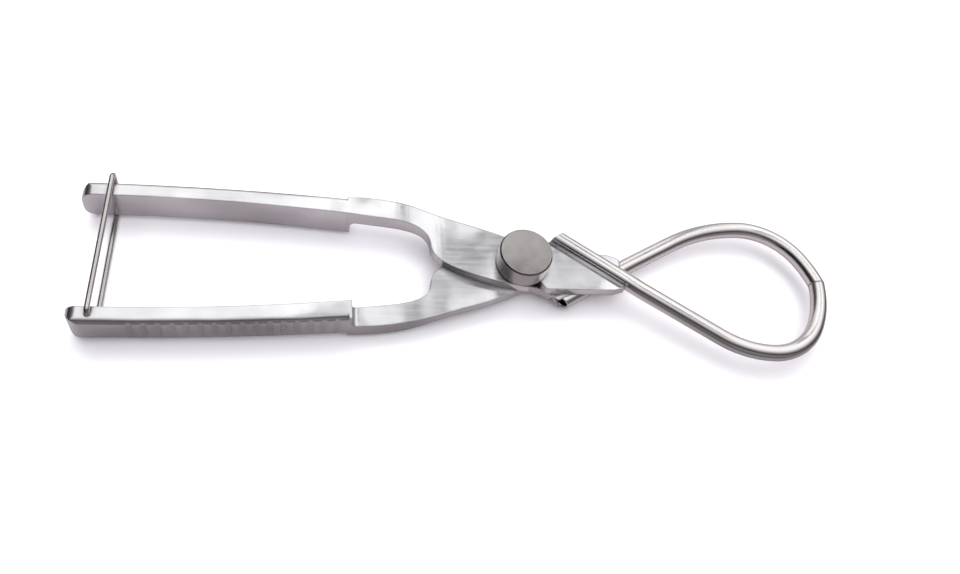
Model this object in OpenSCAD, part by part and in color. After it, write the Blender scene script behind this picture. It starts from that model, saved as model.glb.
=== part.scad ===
// Wire passer: two crossing branches with hollow jaws that meet in a loop, shown closed.
// The pivot axis is Z, the jaws point to +X, the front branch's grip lies on the +Y side,
// and the origin is on the pivot axis at the back face of the rear branch's plate.

/* [Lock] */
// Thickness of each branch where they cross
layer_t = 3.4; // [2.8:0.1:4.6]
// Diameter of the pivot stud's neck
stud_d = 4; // [3:0.1:5]
// Diameter of the stud's flush rear head
stud_head_d = 7; // [6:0.1:9]
// Thickness of the stud's rear head
stud_head_t = 1.2; // [0.8:0.1:1.8]
// Radial running clearance of the stud and of the bail's ends
run_gap = 0.05; // [0.02:0.01:0.1]
// Direction of the open slot from the pivot, in degrees
slot_angle = -63; // [-75:1:-55]

/* [Clamp knob] */
// Diameter of the knob
knob_d = 17; // [14:0.5:20]
// Height of the knob
knob_h = 7.2; // [6:0.1:10]
// Width of the bright chamfer round the knob's rims
knob_chamfer = 0.5; // [0.2:0.1:0.8]
// Length of stud thread inside the knob
thread_l = 5; // [3:0.1:5.4]

/* [Grips] */
// Distance from the pivot to the free ends of the grips
grip_reach = 134.2; // [120:0.2:150]
// Distance from the pivot to the step where the grips thin to the shanks
step_reach = 54; // [50:0.5:58]
// Width of the grips across the finger face
grip_w = 11; // [9:0.2:13]
// Height of the grips' inner faces above the centreline at the free end
grip_inner = 18.9; // [18.5:0.1:20]
// Depth of the grips at the free end
grip_depth = 5.2; // [4.8:0.1:6.5]
// Curvature radius of the grips' inner faces
inner_bend_r = 650; // [600:10:750]
// Curvature radius of the grips' outer faces
outer_bend_r = 925; // [850:5:1100]
// Rounding of the outer edges of the grips
grip_edge_r = 2.2; // [1:0.1:2.5]
// Rounding of the free ends, seen from the front
grip_end_r = 5; // [3:0.1:5.1]
// Rounding of the free ends, seen from the side
grip_nose_r = 3.5; // [2:0.1:4]
// Fillet at the foot of the step
step_fillet = 2; // [1:0.1:3]
// Diameter of the round dimple in the front grip's inner face
dimple_d = 1.8; // [1:0.1:2.5]

/* [Finger grooves] */
// Number of grooves on each grip
groove_count = 16; // [0:1:17]
// Spacing of the grooves
groove_pitch = 3.9; // [3:0.1:4]
// Depth of the grooves
groove_depth = 0.4; // [0.2:0.05:0.6]
// Radius of the cutter that makes the grooves
groove_r = 1.3; // [0.8:0.1:1.8]
// Distance from the pivot to the groove nearest to it
groove_start = 58.2; // [58:0.2:62]

/* [Jaw tubes] */
// Outer diameter of the jaw tubes
tube_d = 5.4; // [4.6:0.1:6]
// Bore of the jaw tubes, where the wire runs
tube_bore = 3.8; // [2.6:0.1:4.2]
// Gap between each tube and the plane where the branches meet
tube_clear = 0.15; // [0.1:0.05:0.4]
// Widening of the bore at each tube's rear mouth
mouth_flare = 0.5; // [0.1:0.05:0.6]
// Clearance of the tubes in their grooves, filled with braze
braze_gap = 0.04; // [0.02:0.01:0.08]
// Distance from the pivot to the joint between the tips, along the centreline
tip_reach = 104.5; // [98:0.5:112]
// Distance of the joint between the tips below the centreline
tip_drop = 3.6; // [2:0.1:5]
// Gap between the tips of the closed jaws
tip_gap = 0.1; // [0.05:0.05:0.5]

/* [Bail] */
// Diameter of the bail's wire
wire_d = 1.6; // [1.2:0.1:2]
// Gap between the bail and the outer face of the front grip
bail_gap = 0.9; // [0.8:0.05:1.4]
// Gap between the bail's legs and the sides of the grips
leg_gap = 0.7; // [0.4:0.1:1.2]
// Distance from the grips' free ends to the bail's cross hole
bail_inset = 6.6; // [6:0.1:9]
// Depth of the cross hole's axis behind the rear grip's inner face
bail_hole_depth = 2.4; // [2:0.1:2.8]
// How far the crossbar stands nearer to the pivot than the cross hole
bail_lean = 2.2; // [0:0.1:3]
// Bend radius of the bail's crossbar corners, at the wire's axis
bail_bend_r = 1.8; // [1.4:0.1:2.5]
// Length of the bail's ends inside the cross hole
bail_pin_l = 4.4; // [2:0.2:5]

/* [Hidden] */
$fn = 96;

far = 60;
half_w = grip_w / 2;
end_x = -grip_reach;
step_x = -step_reach;
bend_x = end_x + 12;
grip_outer = grip_inner + grip_depth;
tube_r = tube_d / 2;
bore_r = tube_bore / 2;
tube_rise = tube_r + tube_clear;
slot_r = stud_d / 2 + run_gap;

// Plan vector turned to the left by an angle
function turned(v, a) = [v[0] * cos(a) - v[1] * sin(a), v[0] * sin(a) + v[1] * cos(a)];
// Points of a cubic curve, without its first point
curve_steps = 14;
function bezier(a, b, c, d) = [for (i = [1 : curve_steps])
    let (t = i / curve_steps, s = 1 - t)
    s * s * s * a + 3 * s * s * t * b + 3 * s * t * t * c + t * t * t * d];
// Points of an arc about a centre
function arc(centre, r, from, to, steps = 12) = [for (i = [0 : steps])
    let (a = from + (to - from) * i / steps)
    centre + r * [cos(a), sin(a)]];
// Height above the centreline of a grip face bent to radius r
function bent_y(y, r, x) = y - r + sqrt(r * r - pow(x - bend_x, 2));

// Each jaw's own shape, seen from the front as if its grip lay on the +Y side:
// [turn of plate and tube about the pivot, trim of the tube's rear end,
// heading past the plate, [[bend radius, angle], ...], last bend's angle, tip's height,
// whether the plate's corner beside the slot is rounded]
front_jaw = [0, 0, -32, [[35, 32], [20, 60]], 28, -tip_drop, true];
rear_jaw = [6, 1.5, -27, [[54, 27], [24.5, 60]], 14, tip_drop, false];

// Plate and tube of an unturned jaw
tube_start = [13, 10];
tube_angle = -35.5;
on_plate_l = 26;
tube_end = tube_start + on_plate_l * [cos(tube_angle), sin(tube_angle)];
mouth_angle = 30;
shoulder = [9.8, 8.2];
plate_low_y = -9.1;
plate_left_x = 6.6;
plate_right_x = 30;
plate_corner_r = 1.5;
// Bends that lead a tube off the plate: towards the middle plane, and in plan
fall_r = 60;
lead_r = 60;
// How much thicker every second piece of a bent rod is, and how far the thin ones run into it
rod_step = 0.01;
rod_lap = 0.05;

// Outline of a branch's half-thick part, seen from the front
module arm_outline(jaw) {
    inner_start = [step_x, bent_y(grip_inner, inner_bend_r, step_x)];
    outer_start = [step_x, bent_y(grip_outer, outer_bend_r, step_x)];
    hook = [-30.2, 9.4];
    heel = [-28.4, 3.2];
    arm_low = [-13.3, -5.2];
    slot_corner = [1.8, -8.7];
    neck = [-1, 8.1];
    arm_high = [-24, 16.3];
    jaw_turn = jaw[0];
    plate = concat(
        jaw[6] ? arc([plate_left_x, plate_low_y] + plate_corner_r * [1, 1], plate_corner_r, 200, 270, 6) : [],
        [[plate_right_x, plate_low_y], tube_end + [-0.5, -3], tube_end, tube_start, shoulder]);
    polygon(concat(
        [inner_start - [1, 0], inner_start],
        bezier(inner_start, [-43, 13.8], [-33.5, 13.9], hook),
        bezier(hook, [-28.6, 7.1], [-29.4, 5.4], heel),
        bezier(heel, [-27.1, 0.2], [-21.2, -2.8], arm_low),
        bezier(arm_low, [-8, -6.9], [-3, -7.9], slot_corner),
        [for (p = plate) turned(p, jaw_turn)],
        bezier(turned(shoulder, jaw_turn), turned([6.5, 6.3], jaw_turn), [3, 5.9], neck),
        bezier(neck, [-9, 12], [-16, 13.6], arm_high),
        bezier(arm_high, [-34, 19.7], [-44, outer_start[1]], outer_start),
        [outer_start - [1, 0]]));
}

// Side view of a branch: X to the right, Z up, with the plane between the branches at zero
module side_outline() {
    taper_start = -42;
    taper_end = -22;
    taper_mid = (taper_start + taper_end) / 2;
    nose = min(grip_nose_r, half_w);
    polygon(concat(
        arc([end_x + nose, half_w - nose], nose, 90, 180),
        arc([end_x + nose, nose - half_w], nose, 180, 270),
        [[step_x, -half_w]],
        arc([step_x + step_fillet, -step_fillet], step_fillet, 180, 90),
        [[far, 0], [far, layer_t], [taper_end, layer_t]],
        bezier([taper_end, layer_t], [taper_mid, layer_t], [taper_mid, half_w], [taper_start, half_w])));
}

// Full-thick grip, with bent faces, rounded outer edges and a rounded end
module grip() {
    reach_in = 12;
    difference() {
        intersection() {
            translate([bend_x, grip_outer - outer_bend_r, 0])
                rotate([0, 0, 84])
                    rotate_extrude(angle = 8, $fn = 720)
                        translate([outer_bend_r - reach_in, 0])
                            grip_section(reach_in);
            translate([0, 0, -half_w - 1])
                linear_extrude(grip_w + 2)
                    end_outline();
        }
        translate([bend_x, grip_inner - inner_bend_r, 0])
            cylinder(r = inner_bend_r, h = grip_w + 2, center = true, $fn = 720);
        finger_grooves();
    }
}

// Section of a grip before its inner face is cut, rounded at the outer edges
module grip_section(depth) {
    edge = min(grip_edge_r, half_w - 0.5);
    translate([0, -half_w]) square([depth - edge, grip_w]);
    translate([0, edge - half_w]) square([depth, grip_w - 2 * edge]);
    for (side = [-1, 1])
        translate([depth - edge, side * (half_w - edge)]) circle(edge);
}

// Plan of a grip from the step to the free end, a quarter round from the end to the outer face
module end_outline() {
    r = grip_end_r;
    translate([end_x + r, grip_outer - r]) circle(r);
    translate([end_x + r, 0]) square([step_x - end_x - r, far]);
    translate([end_x, 0]) square([r, grip_outer - r]);
}

// Grooves cut straight across the outer face, which run out on its rounded edges
module finger_grooves() {
    for (i = [0 : 1 : groove_count - 1]) {
        x = -groove_start - i * groove_pitch;
        translate([x, bent_y(grip_outer, outer_bend_r, x) + groove_r - groove_depth, 0])
            cylinder(r = groove_r, h = grip_w + 2, center = true, $fn = 48);
    }
}

// A branch in front of the plane z = 0, with its grip on the +Y side
module branch(jaw) {
    difference() {
        intersection() {
            union() {
                grip();
                translate([0, 0, -half_w]) linear_extrude(grip_w) arm_outline(jaw);
            }
            rotate([90, 0, 0]) linear_extrude(2 * far, center = true) side_outline();
        }
        rotate([0, 0, jaw[0]])
            translate([tube_start[0], tube_start[1], tube_rise])
                rotate([0, 0, tube_angle])
                    translate([-far / 4, 0, 0])
                        rotate([0, 90, 0])
                            cylinder(r = tube_r + braze_gap, h = far);
    }
}

// Plan move along one bend of unit radius, begun with heading h, and along the first n bends of a list
function bend_move(h, turn) = [sin(h + turn) - sin(h), cos(h) - cos(h + turn)];
function bends_turn(bends, n) = n == 0 ? 0 : bends_turn(bends, n - 1) + bends[n - 1][1];
function bends_move(h, bends, n) = n == 0 ? [0, 0] :
    bends_move(h, bends, n - 1)
    + bends[n - 1][0] * bend_move(h + bends_turn(bends, n - 1), bends[n - 1][1]);

// A jaw is laid out from where it leaves the plate, with X along the tube there.
// A bend towards the middle plane comes first, and the rest lies in the plane that it leads into.
function jaw_angle(jaw) = tube_angle + jaw[0];
function jaw_exit(jaw) = turned(tube_end, jaw[0]);
function jaw_tip(jaw) = turned([tip_reach, jaw[5]] - jaw_exit(jaw), -jaw_angle(jaw));
function jaw_fall(jaw) =
    let (x = jaw_tip(jaw)[0], up = fall_r - tube_rise)
    90 - atan2(up, x) - acos(fall_r / norm([x, up]));
function jaw_run(jaw) =
    let (x = jaw_tip(jaw)[0], up = fall_r - tube_rise)
    sqrt(x * x + up * up - fall_r * fall_r);

// The straight length and the last bend's radius are what brings the tube's axis to the tip
function jaw_side(jaw) = jaw[2] - jaw_angle(jaw);
function jaw_rest(jaw) =
    [jaw_run(jaw), jaw_tip(jaw)[1]]
    - lead_r * bend_move(0, jaw_side(jaw))
    - bends_move(jaw_side(jaw), jaw[3], len(jaw[3]));
function jaw_last(jaw) = bend_move(jaw_side(jaw) + bends_turn(jaw[3], len(jaw[3])), jaw[4]);
function cross2(a, b) = a[0] * b[1] - a[1] * b[0];
function jaw_straight(jaw) =
    let (along = [cos(jaw_side(jaw)), sin(jaw_side(jaw))])
    cross2(jaw_rest(jaw), jaw_last(jaw)) / cross2(along, jaw_last(jaw));
function jaw_last_r(jaw) =
    let (along = [cos(jaw_side(jaw)), sin(jaw_side(jaw))])
    cross2(along, jaw_rest(jaw)) / cross2(along, jaw_last(jaw));
function jaw_route(jaw) = concat(
    [[lead_r, jaw_side(jaw)], [0, jaw_straight(jaw)]],
    jaw[3],
    [[jaw_last_r(jaw), jaw[4]]]);

// A round rod along a route of bends to the left, [radius, angle], and straights, [0, length].
// Every second piece is a hair thinner and runs a little way into its thicker neighbours.
module routed_rod(r, route, i = 0) {
    if (i < len(route)) {
        bend_r = route[i][0];
        thin = i % 2 == 0;
        if (bend_r == 0) {
            rod(r, route[i][1], thin);
            translate([route[i][1], 0, 0]) routed_rod(r, route, i + 1);
        } else {
            bent_rod(r, bend_r, route[i][1], thin);
            translate([0, bend_r, 0])
                rotate([0, 0, route[i][1]])
                    translate([0, -bend_r, 0])
                        routed_rod(r, route, i + 1);
        }
    }
}
module rod(r, length, thin) {
    lap = thin ? rod_lap : 0;
    translate([-lap, 0, 0]) rotate([0, 90, 0]) cylinder(r = thin ? r : r + rod_step, h = length + 2 * lap);
}
module bent_rod(r, bend_r, angle, thin) {
    lap = thin ? rod_lap / bend_r * 180 / PI : 0;
    translate([0, bend_r, 0])
        rotate([0, 0, -90 - lap])
            rotate_extrude(angle = angle + 2 * lap)
                translate([bend_r, 0]) circle(thin ? r : r + rod_step);
}

// A rod along a jaw tube's whole route, past both of its ends by extra
module jaw_rod(r, jaw, extra) {
    exit = jaw_exit(jaw);
    fall = jaw_fall(jaw);
    translate([exit[0], exit[1], tube_rise])
        rotate([0, 0, jaw_angle(jaw)]) {
            translate([-on_plate_l - extra, 0, 0]) rod(r, on_plate_l + extra, true);
            rotate([-90, 0, 0]) bent_rod(r, fall_r, fall, false);
            translate([fall_r * sin(fall), 0, fall_r * (cos(fall) - 1)])
                rotate([0, fall, 0])
                    routed_rod(r, concat(jaw_route(jaw), [[0, extra]]));
        }
}

// Hollow jaw tube: its rear mouth is cut in line with the plate's shoulder, its tip at the joint
module jaw_tube(jaw) {
    flare = min(mouth_flare, tube_r - bore_r - 0.15);
    difference() {
        jaw_rod(tube_r, jaw, 4);
        jaw_rod(bore_r, jaw, 6);
        rotate([0, 0, jaw[0]])
            translate([tube_start[0], tube_start[1], tube_rise])
                rotate([0, 0, tube_angle])
                    translate([jaw[1], 0, 0])
                        rotate([0, 0, mouth_angle - tube_angle]) {
                            translate([-far / 2, 0, -far / 2]) cube([far, far, far]);
                            translate([0, 0.1, 0])
                                rotate([90, 0, 0])
                                    cylinder(r1 = bore_r + flare + 0.1, r2 = bore_r - 0.4, h = flare + 0.5);
                        }
        translate([tip_reach - 10, jaw[5] - tip_gap / 2, -far / 2]) cube([20, far, far]);
    }
}

// The open slot that lets the front branch slide off the stud
module lock_slot() {
    cylinder(r = slot_r, h = 4 * layer_t, center = true);
    rotate([0, 0, slot_angle]) translate([0, -slot_r, -2 * layer_t]) cube([far / 4, 2 * slot_r, 4 * layer_t]);
}

// The bail's cross hole, seen as if the rear grip lay on the +Y side
hole_x = end_x + bail_inset;
hole_y = bent_y(grip_inner, inner_bend_r, hole_x) + bail_hole_depth;

module front_branch() color([0.86, 0.86, 0.87]) translate([0, 0, layer_t])
    difference() {
        branch(front_jaw);
        lock_slot();
        dimple_x = (end_x + step_x) / 2 + 5;
        translate([dimple_x, bent_y(grip_inner, inner_bend_r, dimple_x) - dimple_d / 4, 0])
            sphere(d = dimple_d, $fn = 32);
    }

module rear_branch() color([0.80, 0.80, 0.82]) translate([0, 0, layer_t]) rotate([180, 0, 0])
    difference() {
        branch(rear_jaw);
        cylinder(d = stud_d, h = 3 * layer_t, center = true);
        translate([0, 0, layer_t - stud_head_t]) cylinder(d = stud_head_d, h = layer_t);
        translate([hole_x, hole_y, 0])
            cylinder(d = wire_d + 2 * run_gap, h = grip_w + 2, center = true);
    }

module front_jaw_tube() color([0.75, 0.74, 0.73]) translate([0, 0, layer_t]) jaw_tube(front_jaw);

module rear_jaw_tube() color([0.70, 0.69, 0.68]) translate([0, 0, layer_t]) rotate([180, 0, 0]) jaw_tube(rear_jaw);

// Stud fixed in the rear branch by its flush head, threaded into the knob
module pivot_stud() color([0.62, 0.62, 0.64]) {
    cylinder(d = stud_head_d, h = stud_head_t);
    cylinder(d = stud_d, h = 2 * layer_t + thread_l);
}

module clamp_knob() color([0.72, 0.70, 0.70]) translate([0, 0, 2 * layer_t])
    difference() {
        rotate_extrude()
            polygon([
                [0, 0],
                [knob_d / 2 - knob_chamfer, 0],
                [knob_d / 2, knob_chamfer],
                [knob_d / 2, knob_h - knob_chamfer],
                [knob_d / 2 - knob_chamfer, knob_h],
                [0, knob_h]]);
        translate([0, 0, -1]) cylinder(r = slot_r, h = thread_l + 1.5);
    }

// Wire bail: two ends in the cross hole, two legs beside the grips and a crossbar over the front grip
module lock_bail() {
    leg_z = half_w + leg_gap + wire_d / 2;
    foot_r = leg_gap + wire_d / 2;
    bar_x = hole_x + bail_lean;
    bar_y = bent_y(grip_outer, outer_bend_r, bar_x) + bail_gap + wire_d / 2;
    leg = [bar_x - hole_x, bar_y + hole_y];
    leg_l = norm(leg);
    color([0.55, 0.54, 0.53]) translate([hole_x, -hole_y, layer_t])
        rotate([0, 0, -atan2(leg[0], leg[1])])
            for (side = [0, 180]) rotate([0, side, 0]) half_bail(leg_l, leg_z, foot_r);
}

// Half of the bail, from one end's tip to the middle of the crossbar: Y runs along the leg
module half_bail(leg_l, leg_z, foot_r) {
    r = wire_d / 2;
    translate([0, 0, half_w - bail_pin_l]) cylinder(r = r, h = bail_pin_l, $fn = 48);
    translate([0, foot_r, leg_z - foot_r])
        rotate([0, -90, 0]) rotate([0, 0, -90])
            rotate_extrude(angle = 90) translate([foot_r, 0]) circle(r, $fn = 48);
    translate([0, foot_r, leg_z])
        rotate([-90, 0, 0]) cylinder(r = r, h = leg_l - foot_r - bail_bend_r, $fn = 48);
    translate([0, leg_l - bail_bend_r, leg_z - bail_bend_r])
        rotate([0, -90, 0])
            rotate_extrude(angle = 90) translate([bail_bend_r, 0]) circle(r, $fn = 48);
    translate([0, leg_l, 0]) cylinder(r = r, h = leg_z - bail_bend_r, $fn = 48);
}

rear_branch();
front_branch();
rear_jaw_tube();
front_jaw_tube();
pivot_stud();
clamp_knob();
lock_bail();
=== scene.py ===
# %% [markdown]
# # Wire passer in satin steel
#
# This lesson dresses a finished CAD assembly: two crossing branches, two hollow jaw tubes,
# a clamp knob on a stud, and a wire bail round the grips. Units are metres, the jaws point
# to +X, and +Z is the side with the knob. The origin is on the pivot axis.

import math

import bpy
from mathutils import Matrix, Vector


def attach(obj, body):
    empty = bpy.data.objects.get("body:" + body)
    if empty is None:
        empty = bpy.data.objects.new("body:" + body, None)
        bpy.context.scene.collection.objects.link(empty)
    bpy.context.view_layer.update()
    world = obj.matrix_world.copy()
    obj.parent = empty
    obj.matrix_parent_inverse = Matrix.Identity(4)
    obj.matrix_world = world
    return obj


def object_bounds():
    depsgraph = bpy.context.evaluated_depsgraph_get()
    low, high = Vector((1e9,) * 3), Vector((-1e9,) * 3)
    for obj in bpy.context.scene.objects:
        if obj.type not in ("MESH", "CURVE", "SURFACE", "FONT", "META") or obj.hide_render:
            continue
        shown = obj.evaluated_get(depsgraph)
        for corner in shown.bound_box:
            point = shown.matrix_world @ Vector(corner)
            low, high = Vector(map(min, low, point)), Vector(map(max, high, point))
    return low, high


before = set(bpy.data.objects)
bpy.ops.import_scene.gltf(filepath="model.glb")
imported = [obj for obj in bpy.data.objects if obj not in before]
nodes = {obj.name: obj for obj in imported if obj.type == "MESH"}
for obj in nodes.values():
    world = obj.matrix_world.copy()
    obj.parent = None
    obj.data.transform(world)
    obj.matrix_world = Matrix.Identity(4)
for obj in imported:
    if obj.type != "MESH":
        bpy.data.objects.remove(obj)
cad_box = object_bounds()
print("CAD nodes:", sorted(nodes))
print("CAD box in mm:", [[round(v * 1000, 2) for v in corner] for corner in cad_box])

# %% [markdown]
# ## Node helper
#
# The floor, the surroundings and the steel are all node trees, so one small class adds and
# links nodes for the three of them.

# %% Node helper


class Nodes:
    """Adds nodes to one tree and links them."""

    def __init__(self, tree):
        self.tree = tree

    def add(self, kind, **values):
        """A new node with some of its properties set."""
        node = self.tree.nodes.new(kind)
        for name, value in values.items():
            setattr(node, name, value)
        return node

    def put(self, node, socket, value):
        """Links an output, or sets a value, on a node's input."""
        if isinstance(value, bpy.types.NodeSocket):
            self.tree.links.new(value, node.inputs[socket])
        else:
            node.inputs[socket].default_value = value

    def math(self, operation, a, b=0.0, clamp=False):
        """The result of one sum on two values."""
        node = self.add("ShaderNodeMath", operation=operation, use_clamp=clamp)
        self.put(node, 0, a)
        self.put(node, 1, b)
        return node.outputs[0]

    def spread(self, value, low, high, to_low=0.0, to_high=1.0, smooth=False):
        """Maps a range of a value to another range, clamped."""
        node = self.add("ShaderNodeMapRange", clamp=True)
        node.interpolation_type = "SMOOTHSTEP" if smooth else "LINEAR"
        self.put(node, "Value", value)
        self.put(node, "From Min", low)
        self.put(node, "From Max", high)
        self.put(node, "To Min", to_low)
        self.put(node, "To Max", to_high)
        return node.outputs["Result"]

    def mix(self, share, a, b):
        """A colour between two colours."""
        node = self.add("ShaderNodeMix", data_type="RGBA")
        self.put(node, "Factor", share)
        self.put(node, 6, a)
        self.put(node, 7, b)
        return node.outputs[2]

    def noise(self, where, scale, detail=3.0, rough=0.5, stretch=(1, 1, 1), angle=0.0):
        """Noise whose stretch scales each axis, so a small number makes long streaks."""
        mapping = self.add("ShaderNodeMapping")
        self.put(mapping, "Vector", where)
        mapping.inputs["Rotation"].default_value = (0, 0, angle)
        mapping.inputs["Scale"].default_value = stretch
        node = self.add("ShaderNodeTexNoise")
        self.put(node, "Vector", mapping.outputs[0])
        self.put(node, "Scale", scale)
        self.put(node, "Detail", detail)
        self.put(node, "Roughness", rough)
        return node.outputs["Fac"]


print("Node helper has:", [name for name in vars(Nodes) if not name.startswith("_")])

# %% [markdown]
# ## Camera
#
# The camera was fitted to the object's known points, so its place and axes are plain
# numbers. It looks down at about 59 degrees and is rolled by about 21 degrees.

# %% Camera
IMAGE_W = 960
FOCAL_PX = 926.0
SENSOR_MM = 36.0
CAMERA_PLACE = Vector((-0.0720, -0.1460, 0.2540))
AHEAD = Vector((0.200, 0.475, -0.857)).normalized()
TO_THE_RIGHT = Vector((0.980, -0.079, 0.185))

camera_data = bpy.data.cameras.new("camera")
camera_data.sensor_fit = "HORIZONTAL"
camera_data.sensor_width = SENSOR_MM
camera_data.lens = FOCAL_PX * SENSOR_MM / IMAGE_W
camera_data.clip_start = 0.01
camera_data.clip_end = 20.0
camera = bpy.data.objects.new("camera", camera_data)
bpy.context.scene.collection.objects.link(camera)
right = (TO_THE_RIGHT - AHEAD * TO_THE_RIGHT.dot(AHEAD)).normalized()
up = right.cross(AHEAD)
turn = Matrix((right, up, -AHEAD)).transposed()
camera.matrix_world = Matrix.Translation(CAMERA_PLACE) @ turn.to_4x4()
bpy.context.scene.camera = camera
print("Lens in mm:", round(camera_data.lens, 2))

# %% [markdown]
# ## Floor
#
# The floor is nearly white to the camera. The steel mirrors another version of it, so that
# the side faces get tones of their own: grey beside the object, darker in front of it where
# its shadow falls, and almost black farther out.

# %% Floor
FLOOR_SIZE = 3.0
FLOOR_GAP = 0.0001
FLOOR_COLOUR = (0.92, 0.91, 0.94, 1)
GLOW_COLOUR = (0.98, 0.96, 1.0, 1)
GLOW = 0.08
BESIDE_TONE = (0.43, 0.395, 0.413, 1)
FRONT_TONE = (0.26, 0.24, 0.25, 1)
FAR_TONE = (0.05, 0.046, 0.048, 1)
FRONT_FROM_Y, FRONT_TO_Y = -0.017, -0.030
MIDDLE_X = -0.013
HALF_LENGTH, HALF_WIDTH = 0.123, 0.030
FADE = 0.07


def pale_floor():
    """The floor's material, with its own look for mirrored rays."""
    material = bpy.data.materials.new("pale_floor")
    material.use_nodes = True
    n = Nodes(material.node_tree)
    shader = n.tree.nodes["Principled BSDF"]
    shader.inputs["Base Color"].default_value = FLOOR_COLOUR
    shader.inputs["Roughness"].default_value = 0.9
    shader.inputs["Specular IOR Level"].default_value = 0.1
    shader.inputs["Emission Color"].default_value = GLOW_COLOUR
    shader.inputs["Emission Strength"].default_value = GLOW
    place = n.add("ShaderNodeSeparateXYZ")
    n.put(place, 0, n.add("ShaderNodeTexCoord").outputs["Object"])
    in_front = n.spread(place.outputs["Y"], FRONT_FROM_Y, FRONT_TO_Y)
    near_tone = n.mix(in_front, BESIDE_TONE, FRONT_TONE)
    from_middle = n.math("ABSOLUTE", n.math("SUBTRACT", place.outputs["X"], MIDDLE_X))
    along = n.math("SUBTRACT", from_middle, HALF_LENGTH)
    beside = n.math("SUBTRACT", n.math("ABSOLUTE", place.outputs["Y"]), HALF_WIDTH)
    outside = n.spread(n.math("MAXIMUM", along, beside), 0.0, FADE, smooth=True)
    mirrored = n.add("ShaderNodeBsdfDiffuse")
    n.put(mirrored, "Color", n.mix(outside, near_tone, FAR_TONE))
    choice = n.add("ShaderNodeMixShader")
    n.put(choice, 0, n.add("ShaderNodeLightPath").outputs["Is Glossy Ray"])
    n.put(choice, 1, shader.outputs[0])
    n.put(choice, 2, mirrored.outputs[0])
    n.put(n.tree.nodes["Material Output"], "Surface", choice.outputs[0])
    return material


floor_z = cad_box[0][2] - FLOOR_GAP
bpy.ops.mesh.primitive_grid_add(
    x_subdivisions=4, y_subdivisions=4, size=FLOOR_SIZE, location=(0, 0, 0))
floor = bpy.context.object
floor.name = "floor"
floor.data.transform(Matrix.Translation((0, 0, floor_z)))
floor.data.materials.append(pale_floor())
print("Floor height in mm:", round(floor_z * 1000, 2))

# %% [markdown]
# ## Lights
#
# A large light overhead makes the floor white and gives the soft shadow close to the
# object. The lights don't show in the steel, which mirrors only the surroundings and floor.

# %% Lights


def area_light(name, place, size, power, colour):
    """A rectangular area light that faces the pivot."""
    data = bpy.data.lights.new(name, "AREA")
    data.shape = "RECTANGLE"
    data.size = size[0]
    data.size_y = size[1]
    data.energy = power
    data.color = colour
    lamp = bpy.data.objects.new(name, data)
    lamp.location = place
    lamp.rotation_euler = (-Vector(place)).to_track_quat("-Z", "Y").to_euler()
    lamp.visible_glossy = False
    bpy.context.scene.collection.objects.link(lamp)
    return lamp


lamps = [
    area_light("key", (-0.15, 0.55, 0.85), (0.8, 0.6), 4.0, (1, 0.99, 0.98)),
    area_light("fill", (0.5, -0.35, 0.8), (0.6, 0.6), 1.0, (0.97, 0.97, 1)),
    area_light("overhead", (0, 0, 1.3), (1.8, 1.8), 16.0, (0.98, 0.97, 1)),
]
print("Lights:", [lamp.name for lamp in lamps])

# %% [markdown]
# ## Surroundings
#
# Satin steel shows what it mirrors. The surroundings are white above and behind the object
# and fall off to a dark mauve near the horizon, which is what the side faces pick up. A dark
# drape with wavy edges hangs across the bright part, and the left side is dark, so flat
# faces get grey patches and the grips' left ends go dark.

# %% Surroundings
SKY_LEAN = (0.0, 0.6, 1.0)
SKY_LOW, SKY_HIGH = -0.1, 1.2
SKY_STRENGTH = 1.25
SKY_STOPS = (
    (0.00, (0.16, 0.15, 0.16, 1)),
    (0.10, (0.05, 0.046, 0.05, 1)),
    (0.34, (0.07, 0.065, 0.07, 1)),
    (0.52, (0.34, 0.32, 0.33, 1)),
    (0.66, (0.66, 0.65, 0.66, 1)),
    (0.82, (0.88, 0.88, 0.89, 1)),
    (0.92, (1.0, 1.0, 1.0, 1)))
DRAPE_LEFT, DRAPE_RIGHT, DRAPE_EDGE = 0.10, 0.28, 0.05
DRAPE_WAVES, DRAPE_SWAY = 7.0, 0.45
DRAPE_FROM, DRAPE_TO = 0.7, 0.95
DRAPE_SHADE, LEFT_END_SHADE, LEFT_SIDE_SHADE = 0.84, 0.25, 0.88

world = bpy.data.worlds.new("studio")
bpy.context.scene.world = world
world.use_nodes = True
world.node_tree.nodes.clear()
sky = Nodes(world.node_tree)
direction = sky.add("ShaderNodeTexCoord").outputs["Generated"]
height = sky.add("ShaderNodeVectorMath", operation="DOT_PRODUCT")
height.inputs[1].default_value = SKY_LEAN
sky.put(height, 0, direction)
ramp = sky.add("ShaderNodeValToRGB")
sky.put(ramp, 0, sky.spread(height.outputs["Value"], SKY_LOW, SKY_HIGH))
stops = ramp.color_ramp.elements
stops[0].position, stops[0].color = SKY_STOPS[0]
stops[1].position, stops[1].color = SKY_STOPS[-1]
for position, colour in SKY_STOPS[1:-1]:
    stops.new(position).color = colour

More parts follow.
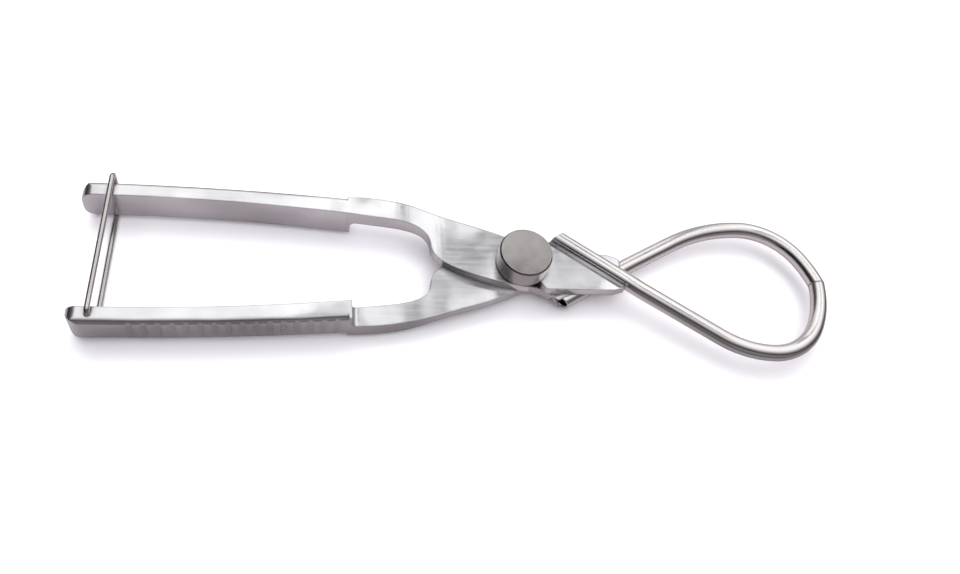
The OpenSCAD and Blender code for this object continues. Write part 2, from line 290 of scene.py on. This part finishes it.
sideways = sky.add("ShaderNodeSeparateXYZ")
sky.put(sideways, 0, direction)
waves = sky.add("ShaderNodeTexNoise")
sky.put(waves, "Vector", direction)
sky.put(waves, "Scale", DRAPE_WAVES)
sky.put(waves, "Detail", 1.0)
sway = sky.math("MULTIPLY", sky.math("SUBTRACT", waves.outputs["Fac"], 0.5), DRAPE_SWAY)
across = sky.math("ADD", sideways.outputs["X"], sway)
drape = sky.math(
    "SUBTRACT",
    sky.spread(across, DRAPE_LEFT, DRAPE_LEFT + DRAPE_EDGE, smooth=True),
    sky.spread(across, DRAPE_RIGHT, DRAPE_RIGHT + DRAPE_EDGE, smooth=True),
    clamp=True)
hung = sky.spread(height.outputs["Value"], DRAPE_FROM, DRAPE_TO, smooth=True)
drape = sky.math("MULTIPLY", drape, hung)
left_end = sky.spread(across, -0.06, -0.26, smooth=True)
left_side = sky.spread(sideways.outputs["X"], -0.40, -0.58, smooth=True)
shade = sky.math(
    "ADD",
    sky.math("MULTIPLY", drape, DRAPE_SHADE),
    sky.math("MULTIPLY", left_end, LEFT_END_SHADE))
shade = sky.math("MAXIMUM", shade, sky.math("MULTIPLY", left_side, LEFT_SIDE_SHADE))
draped = sky.add("ShaderNodeVectorMath", operation="SCALE")
sky.put(draped, 0, ramp.outputs["Color"])
sky.put(draped, "Scale", sky.math("SUBTRACT", 1.0, shade))
background = sky.add("ShaderNodeBackground")
sky.put(background, "Color", draped.outputs["Vector"])
sky.put(background, "Strength", SKY_STRENGTH)
output = sky.add("ShaderNodeOutputWorld")
sky.put(output, "Surface", background.outputs["Background"])
bpy.context.scene.view_settings.view_transform = "Standard"
print("Surroundings:", len(stops), "tones from horizon to top")

# %% [markdown]
# ## Satin steel
#
# One function makes every steel. It layers soft cloudy patches from polishing, a fine
# brushed grain with a direction, a few fine scratches, painted shade in the crevices, and
# edges lightened by wear and by a painted highlight. Low waves in the surface bend what flat
# faces mirror.

# %% Satin steel
# Colour that edges are lightened towards, partly as wear and partly as a painted highlight.
EDGE_WEAR_AND_HIGHLIGHT_COLOUR = (0.93, 0.93, 0.94, 1)
# Painted shade: the near-black colour mixed into crevices and corners.
CREVICE_SHADE_COLOUR = (0.14, 0.13, 0.13, 1)
CREVICE_REACH = 0.002
SCRATCH_DEPTH = 0.8
GRAIN_STRENGTH = 0.08
GRAIN_HEIGHT = 0.00002
WAVE_SCALE = 55.0
LONG_WAVE = (16, 190, 190)


def satin_steel(name, colour, rough=0.22, grain=(40, 900, 900), angle=0.0, edge=0.0007,
                patch=34.0, shade=0.72, wave=0.0024, lines=0.05, streak=0.05, crevice_shade_share=0.75):
    """Steel whose grain runs along X, turned by angle; edge is the radius of its edges with wear and
    painted highlight.
    """
    material = bpy.data.materials.new(name)
    material.use_nodes = True
    n = Nodes(material.node_tree)
    shader = n.tree.nodes["Principled BSDF"]
    where = n.add("ShaderNodeTexCoord").outputs["Object"]
    cloud = n.noise(where, patch, 1.5, 0.45)
    fine_cloud = n.noise(where, patch * 7, 3.0, 0.55)
    streaks = n.noise(where, 1.0, 4.0, 0.6, grain, angle)
    scratch_a = n.noise(where, 1.0, 1.0, 0.4, (60, 3500, 900), angle + 0.5)
    scratch_b = n.noise(where, 1.0, 1.0, 0.4, (2600, 90, 900), angle - 0.3)
    scratches = n.math(
        "MAXIMUM",
        n.spread(scratch_a, 0.69, 0.74),
        n.spread(scratch_b, 0.71, 0.76))
    rounded = n.add("ShaderNodeBevel", samples=4)
    rounded.inputs["Radius"].default_value = edge
    flat = n.add("ShaderNodeNewGeometry")
    same = n.add("ShaderNodeVectorMath", operation="DOT_PRODUCT")
    n.put(same, 0, rounded.outputs[0])
    n.put(same, 1, flat.outputs["True Normal"])
    # Edges are lightened and polished here: partly wear, partly a painted highlight.
    edge_wear_and_highlight = n.spread(same.outputs["Value"], 0.985, 0.93)
    # Painted shade: the colour darkens towards near black where occlusion is high, in crevices and
    # corners.
    hollow = n.add("ShaderNodeAmbientOcclusion", samples=4)
    hollow.inputs["Distance"].default_value = CREVICE_REACH
    crevice_shade = n.spread(hollow.outputs["AO"], 0.35, 0.85, 1.0, 0.0)
    crevice_shade = n.math("MULTIPLY", crevice_shade, crevice_shade_share)

    darker = tuple(part * shade for part in colour) + (1,)
    lighter = tuple(min(1.0, part * 1.05) for part in colour) + (1,)
    tone = n.mix(n.spread(cloud, 0.34, 0.60), darker, tuple(colour) + (1,))
    tone = n.mix(n.math("MULTIPLY", n.spread(streaks, 0.35, 0.65), 0.25), tone, lighter)
    # The edges get their wear and painted highlight, then the crevices their painted shade.
    tone = n.mix(n.math("MULTIPLY", edge_wear_and_highlight, 0.15), tone, EDGE_WEAR_AND_HIGHLIGHT_COLOUR)
    n.put(shader, "Base Color", n.mix(crevice_shade, tone, CREVICE_SHADE_COLOUR))
    shader.inputs["Metallic"].default_value = 1.0

    level = n.spread(fine_cloud, 0.3, 0.7, rough - 0.04, rough + 0.04)
    level = n.math("ADD", level, n.spread(streaks, 0.3, 0.7, -streak / 2, streak / 2))
    level = n.math("ADD", level, n.math("MULTIPLY", crevice_shade, 0.25))
    level = n.math("SUBTRACT", level, n.math("MULTIPLY", edge_wear_and_highlight, 0.05), clamp=True)
    n.put(shader, "Roughness", level)

    short_waves = n.noise(where, WAVE_SCALE, 0.5, 0.4)
    long_waves = n.noise(where, 1.0, 1.0, 0.4, LONG_WAVE, angle)
    ripple = n.add("ShaderNodeBump")
    ripple.inputs["Strength"].default_value = 1.0
    ripple.inputs["Distance"].default_value = wave
    n.put(ripple, "Height", n.math("ADD", short_waves, n.math("MULTIPLY", long_waves, lines)))
    n.put(ripple, "Normal", rounded.outputs[0])
    brushed = n.add("ShaderNodeBump")
    brushed.inputs["Strength"].default_value = GRAIN_STRENGTH
    brushed.inputs["Distance"].default_value = GRAIN_HEIGHT
    n.put(brushed, "Height", n.math("SUBTRACT", streaks, n.math("MULTIPLY", scratches, SCRATCH_DEPTH)))
    n.put(brushed, "Normal", ripple.outputs[0])
    n.put(shader, "Normal", brushed.outputs[0])
    return material


TUBE_COLOUR = (0.90, 0.875, 0.86)
# The tubes get less painted shade in their crevices than the other steel.
TUBE_LOOK = dict(rough=0.16, wave=0.0001, lines=0.0, shade=0.86, crevice_shade_share=0.35)
KNOB_LOOK = dict(rough=0.20, grain=(80, 80, 60), edge=0.0003, wave=0.0006, lines=0.0)
BAIL_LOOK = dict(rough=0.20, grain=(300, 60, 300), edge=0.0001, wave=0.00005)
looks = {
    "rear_branch": satin_steel("steel_rear_branch", (0.88, 0.87, 0.89), angle=-0.2),
    "front_branch": satin_steel("steel_front_branch", (0.90, 0.89, 0.91), angle=0.3),
    "rear_jaw_tube": satin_steel("steel_rear_tube", TUBE_COLOUR, **TUBE_LOOK),
    "front_jaw_tube": satin_steel("steel_front_tube", TUBE_COLOUR, **TUBE_LOOK),
    "pivot_stud": satin_steel("steel_stud", (0.70, 0.69, 0.70), 0.28, (500, 500, 60)),
    "clamp_knob": satin_steel("steel_knob", (0.62, 0.59, 0.58), **KNOB_LOOK),
    "lock_bail": satin_steel("steel_bail", (0.72, 0.70, 0.69), **BAIL_LOOK),
}
for name, material in looks.items():
    for slot in nodes[name].material_slots:
        slot.material = material
    if not nodes[name].material_slots:
        nodes[name].data.materials.append(material)
print("Materials:", sorted(material.name for material in looks.values()))

# %% [markdown]
# ## Braze fillets beside the jaw tubes
#
# Each tube lies in a groove of its plate and is brazed there, so the plate rises to the tube
# in a small hollow curve. The fillet starts as a bar along the tube, a cylinder takes the
# hollow out of it, and two cuts trim it to the plate's outline. One function makes it in the
# tube's own frame and lays it on either plate. The sizes below are in millimetres.

# %% Fillets
MM = 0.001
SPLIT_Z = 3.4
TUBE_START = (13.0, 10.0)
TUBE_ANGLE = math.radians(-35.5)
TUBE_R, TUBE_RISE, PLATE_T = 2.7, 2.85, 3.4
FILLET_R = 2.5
FOOT = math.sqrt((TUBE_R + FILLET_R) ** 2 - (PLATE_T + FILLET_R - TUBE_RISE) ** 2)
BAR_FROM, BAR_TO = -4.0, 29.0
BAR_INNER, BAR_TOP, BAR_SINK = -1.2, 4.6, 0.1
CUTTER_MIDDLE, CUTTER_LENGTH = 10.0, 60.0
MOUTH_ANGLE = math.radians(30)
MOUTH_MARGIN = 0.2
TIP_POINT = (27.1, -2.7, 0.0)
TIP_NORMAL = (2.9, -2.3, 0.0)


def only(thing):
    """Makes one object the selected and active one."""
    bpy.ops.object.select_all(action="DESELECT")
    thing.select_set(True)
    bpy.context.view_layer.objects.active = thing


def block(name, lowest, highest):
    """A box between two corners, with its place in its mesh."""
    bpy.ops.object.select_all(action="DESELECT")
    bpy.ops.mesh.primitive_cube_add(size=1.0, location=(0, 0, 0))
    thing = bpy.context.object
    thing.name = name
    size = [(b - a) * MM for a, b in zip(lowest, highest)]
    middle = [(a + b) / 2 * MM for a, b in zip(lowest, highest)]
    bpy.ops.object.mode_set(mode="EDIT")
    bpy.ops.mesh.select_all(action="SELECT")
    bpy.ops.transform.resize(value=size)
    bpy.ops.transform.translate(value=middle)
    bpy.ops.object.mode_set(mode="OBJECT")
    return thing


def cut_away(thing, tool):
    """Takes a tool's volume out of an object, and removes the tool."""
    only(thing)
    cut = thing.modifiers.new("cut", "BOOLEAN")
    cut.operation = "DIFFERENCE"
    cut.solver = "EXACT"
    cut.object = tool
    bpy.ops.object.modifier_apply(modifier=cut.name)
    bpy.data.objects.remove(tool, do_unlink=True)


def trim(thing, point, normal):
    """Cuts away what lies beyond a plane, and closes the cut."""
    only(thing)
    place = [part * MM for part in point]
    bpy.ops.object.mode_set(mode="EDIT")
    bpy.ops.mesh.select_all(action="SELECT")
    bpy.ops.mesh.bisect(plane_co=place, plane_no=normal, use_fill=True, clear_outer=True)
    bpy.ops.object.mode_set(mode="OBJECT")


def braze_fillet(name, jaw_turn, mouth_trim, rear):
    """A fillet on the pivot's side of a tube; X runs along the tube and Y away from the pivot."""
    bar = block(name, (BAR_FROM, -FOOT, PLATE_T - BAR_SINK), (BAR_TO, BAR_INNER, BAR_TOP))
    bpy.ops.object.select_all(action="DESELECT")
    bpy.ops.mesh.primitive_cylinder_add(
        vertices=128, radius=FILLET_R * MM, depth=CUTTER_LENGTH * MM)
    cutter = bpy.context.object
    cutter.data.transform(Matrix.Rotation(math.radians(90), 4, "Y"))
    axis = Vector((CUTTER_MIDDLE, -FOOT, PLATE_T + FILLET_R)) * MM
    cutter.data.transform(Matrix.Translation(axis))
    cut_away(bar, cutter)
    mouth = MOUTH_ANGLE - TUBE_ANGLE
    trim(bar, (mouth_trim + MOUTH_MARGIN, 0, 0), (-math.sin(mouth), math.cos(mouth), 0))
    trim(bar, TIP_POINT, TIP_NORMAL)
    only(bar)
    bpy.ops.object.shade_smooth_by_angle(angle=math.radians(28))
    place = (Matrix.Rotation(jaw_turn, 4, "Z")
             @ Matrix.Translation((TUBE_START[0] * MM, TUBE_START[1] * MM, 0))
             @ Matrix.Rotation(TUBE_ANGLE, 4, "Z"))
    if rear:
        place = Matrix.Rotation(math.pi, 4, "X") @ place
    bar.data.transform(Matrix.Translation((0, 0, SPLIT_Z * MM)) @ place)
    body, node_name = ("rear", "rear_branch") if rear else ("front", "front_branch")
    bar.data.materials.append(looks[node_name])
    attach(bar, body)
    print(name, "faces:", len(bar.data.polygons))


braze_fillet("front_braze_fillet", 0.0, 0.0, False)
braze_fillet("rear_braze_fillet", math.radians(6), 1.5, True)

# %% [markdown]
# ## End
